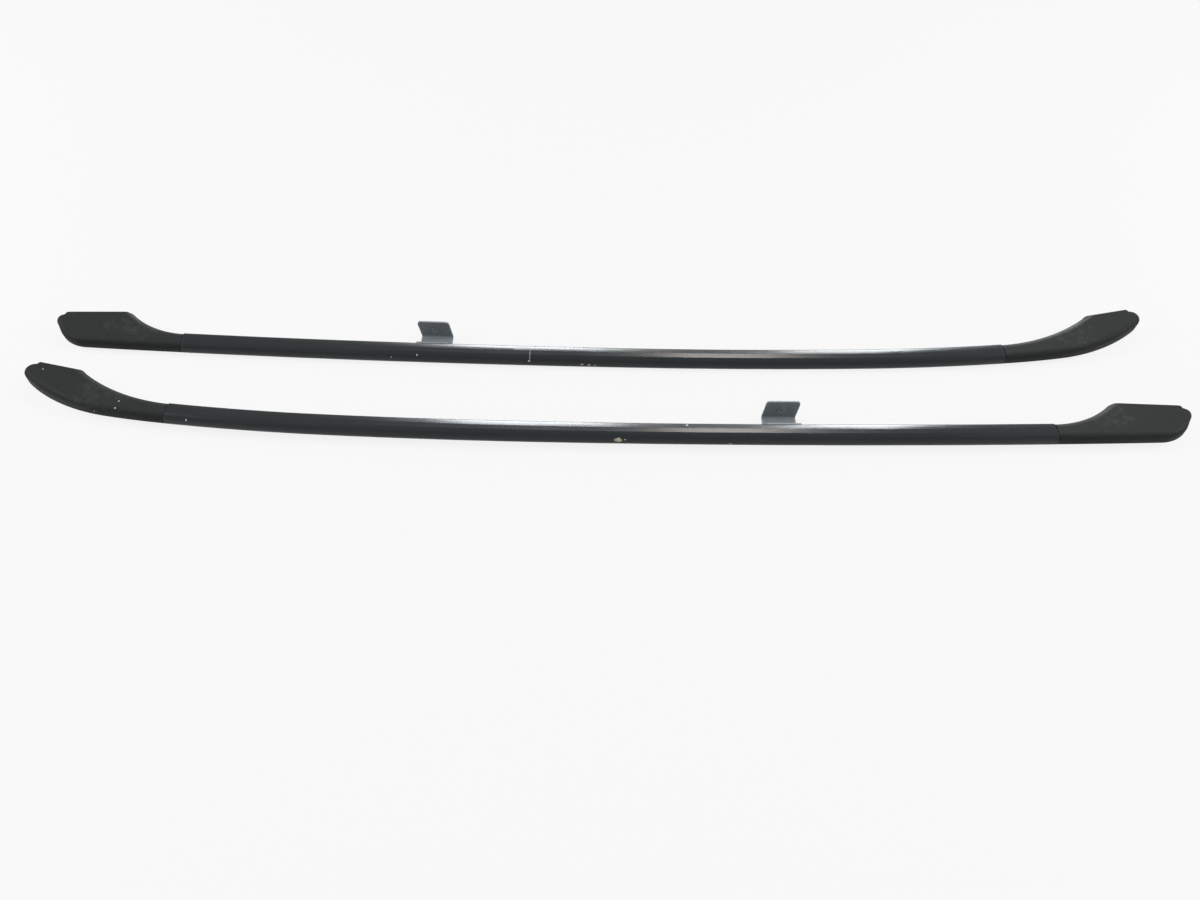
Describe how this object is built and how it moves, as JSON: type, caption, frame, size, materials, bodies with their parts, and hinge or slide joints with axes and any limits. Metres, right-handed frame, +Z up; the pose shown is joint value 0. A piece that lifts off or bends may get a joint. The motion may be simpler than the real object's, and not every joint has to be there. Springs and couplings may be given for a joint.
{
  "type": "pair of roof rails",
  "caption": "Left and right lengthwise roof rails for an estate car: bowed black oval bars with moulded end feet and a bent middle bracket that bolts to the roof.",
  "frame": {"origin": "middle of the pair's bounding box, at ground level", "axes": "+X along the rails toward the front foot of the left rail, +Y from the crowns toward the feet, +Z up from the ground that the rails lie on"},
  "size_m": [1.8138, 0.3033, 0.0416],
  "materials": {
    "bar_paint": "semi-gloss black paint",
    "foot_plastic": "fine-grained moulding",
    "bracket_coat": "matte coated sheet steel",
    "zinc": "zinc plated",
    "rivet_metal": "plain",
    "rubber": "matte"
  },
  "bodies": {
    "root": {"left_bar": "bar_paint", "left_rear_foot": "foot_plastic", "left_front_foot": "foot_plastic", "left_rear_inserts": "zinc", "left_front_inserts": "zinc", "left_rear_gasket": "rubber", "left_front_gasket": "rubber", "left_rear_spigot_screw": "zinc", "left_front_spigot_screw": "zinc", "left_center_bracket": "bracket_coat", "left_bracket_rivets": "rivet_metal", "left_bracket_nut": "zinc", "left_bracket_pad": "rubber", "right_bar": "bar_paint", "right_rear_foot": "foot_plastic", "right_front_foot": "foot_plastic", "right_rear_inserts": "zinc", "right_front_inserts": "zinc", "right_rear_gasket": "rubber", "right_front_gasket": "rubber", "right_rear_spigot_screw": "zinc", "right_front_spigot_screw": "zinc", "right_center_bracket": "bracket_coat", "right_bracket_rivets": "rivet_metal", "right_bracket_nut": "zinc", "right_bracket_pad": "rubber"}
  },
  "joints": []
}
